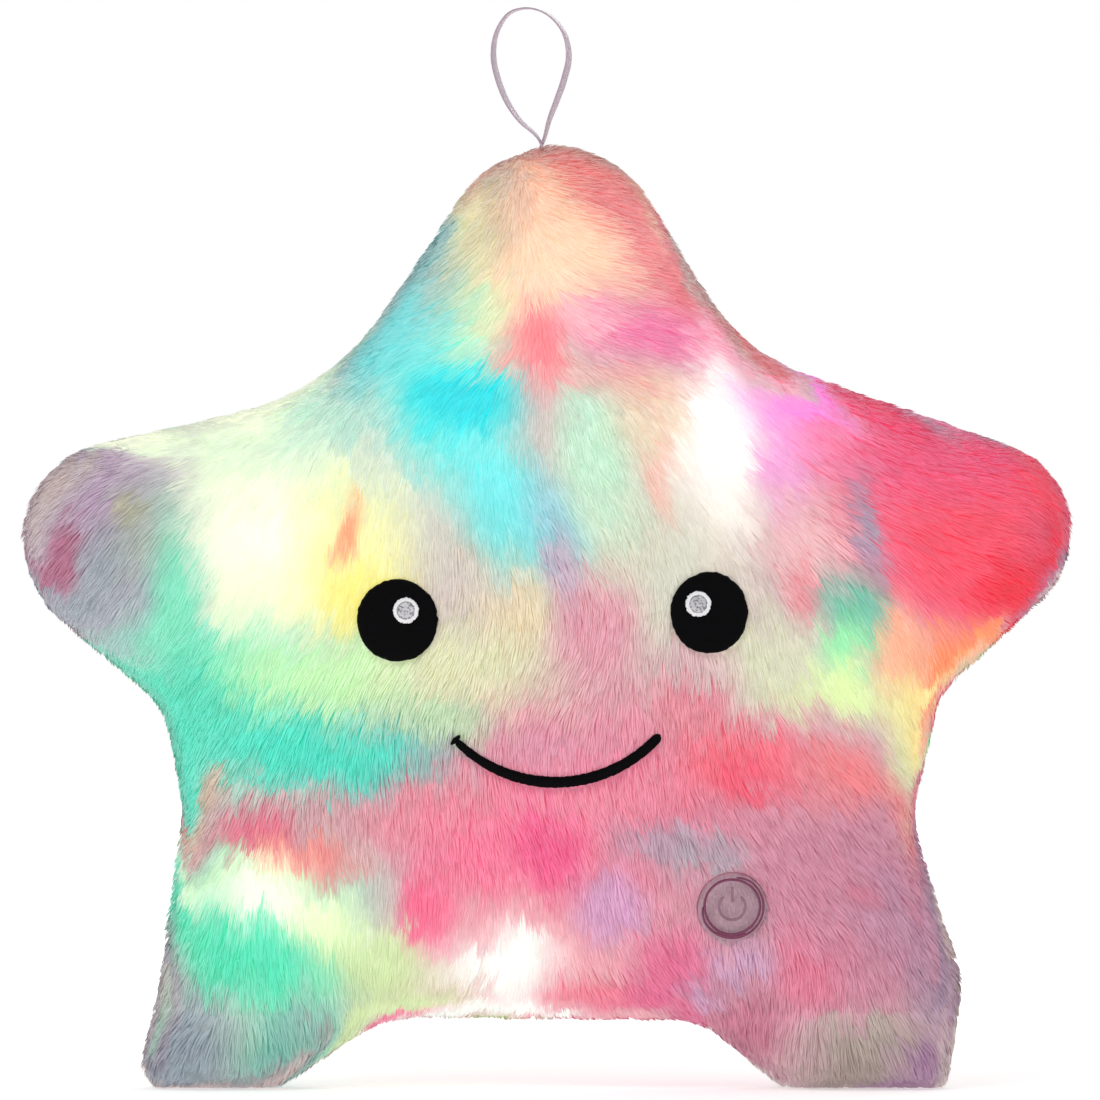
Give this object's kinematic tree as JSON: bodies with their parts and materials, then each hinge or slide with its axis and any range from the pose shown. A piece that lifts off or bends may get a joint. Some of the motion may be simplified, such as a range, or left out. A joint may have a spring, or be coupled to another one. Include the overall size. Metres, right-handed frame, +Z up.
{
  "type": "plush night light",
  "caption": "Smiling star-shaped plush night light with glowing tie-dyed fur, a hanging ribbon, a press switch and a zipped battery pouch at the back.",
  "frame": {"origin": "on the floor, below the middle of the star", "axes": "+X to the right seen from the front, the face looks along -Y, +Z up"},
  "size_m": [0.402, 0.1202, 0.4127],
  "materials": {
    "fur": "short tie-dyed plush pile",
    "stuffing": "loose polyester fibre",
    "ribbon": "narrow satin ribbon",
    "black_thread": "dense glossy satin stitch",
    "glint_thread": "white satin stitch",
    "plum_thread": "plum satin stitch",
    "white_plastic": "moulded, fine texture",
    "stem_plastic": "smooth",
    "dark_plastic": "moulded",
    "soft_rubber": "soft grommet rubber",
    "circuit_board": "solder-masked board",
    "lamp_resin": "clear resin",
    "lead_wire": "soft insulated twin lead",
    "zip_cloth": "woven zip tape",
    "zip_nylon": "moulded teeth",
    "zip_metal": "nickel-plated",
    "pouch_cloth": "plain woven lining",
    "box_plastic": "moulded",
    "steel": "plated",
    "cell_wrap": "plain shrink wrap"
  },
  "bodies": {
    "star": {"front_cover": "fur", "back_cover": "fur", "fibre_fill": "stuffing", "loop_root": "ribbon", "left_eye": "black_thread", "right_eye": "black_thread", "smile": "black_thread", "left_eye_glint": "glint_thread", "right_eye_glint": "glint_thread", "switch_case": "white_plastic", "switch_case_back": "white_plastic", "click_switch": "dark_plastic", "control_chip": "dark_plastic", "wire_gland": "soft_rubber", "control_board": "circuit_board", "lamp_board_bottom": "circuit_board", "lamp_board_upper_right": "circuit_board", "lamp_board_right_side": "circuit_board", "lamp_board_left_arm": "circuit_board", "lamp_board_left_foot": "circuit_board", "lamp_board_upper_left": "circuit_board", "lamp_bottom": "lamp_resin", "lamp_upper_right": "lamp_resin", "lamp_right_side": "lamp_resin", "lamp_left_arm": "lamp_resin", "lamp_left_foot": "lamp_resin", "lamp_upper_left": "lamp_resin", "lamp_lead_bottom": "lead_wire", "lamp_lead_upper_right": "lead_wire", "lamp_lead_right_side": "lead_wire", "lamp_lead_left_arm": "lead_wire", "lamp_lead_left_foot": "lead_wire", "lamp_lead_upper_left": "lead_wire", "battery_lead": "lead_wire", "zip_tape_upper": "zip_cloth", "zip_tape_lower": "zip_cloth", "zip_teeth_upper": "zip_nylon", "zip_teeth_lower": "zip_nylon", "zip_stop_left": "zip_metal", "zip_stop_right": "zip_metal", "battery_pouch": "pouch_cloth", "battery_tray": "box_plastic", "battery_lid": "box_plastic", "lid_screw": "steel", "contact_springs": "steel", "contact_plate": "steel", "battery_cell_1": "cell_wrap", "battery_cell_2": "cell_wrap", "battery_cell_3": "cell_wrap"},
    "switch_button": {"press_patch": "fur", "switch_ring": "plum_thread", "switch_mark_arc": "plum_thread", "switch_mark_bar": "plum_thread", "button_cap": "white_plastic", "click_stem": "stem_plastic"},
    "zip_runner": {"zip_slider": "zip_metal"},
    "zip_tab": {"zip_pull": "zip_metal"},
    "ribbon_loop": {"hang_loop": "ribbon"}
  },
  "joints": [
    {"name": "switch_press", "type": "slide", "parent": "star", "child": "switch_button", "axis": [0.0379, 0.9538, 0.2981], "range_m": [0, 0.003], "stiffness_N_per_m": 900},
    {"name": "zip_slide", "type": "slide", "parent": "star", "child": "zip_runner", "axis": [-1, 0, 0], "range_m": [0, 0.082]},
    {"name": "pull_swing", "type": "hinge", "parent": "zip_runner", "child": "zip_tab", "pos_m": [0.0412, 0.05705, 0.14], "axis": [0, 0, -1], "range_deg": [0, 170]},
    {"name": "loop_flop", "type": "hinge", "parent": "star", "child": "ribbon_loop", "pos_m": [-0.005, 0, 0.36627], "axis": [1, 0, 0], "range_deg": [-75, 75], "stiffness_Nm_per_rad": 0.01}
  ]
}
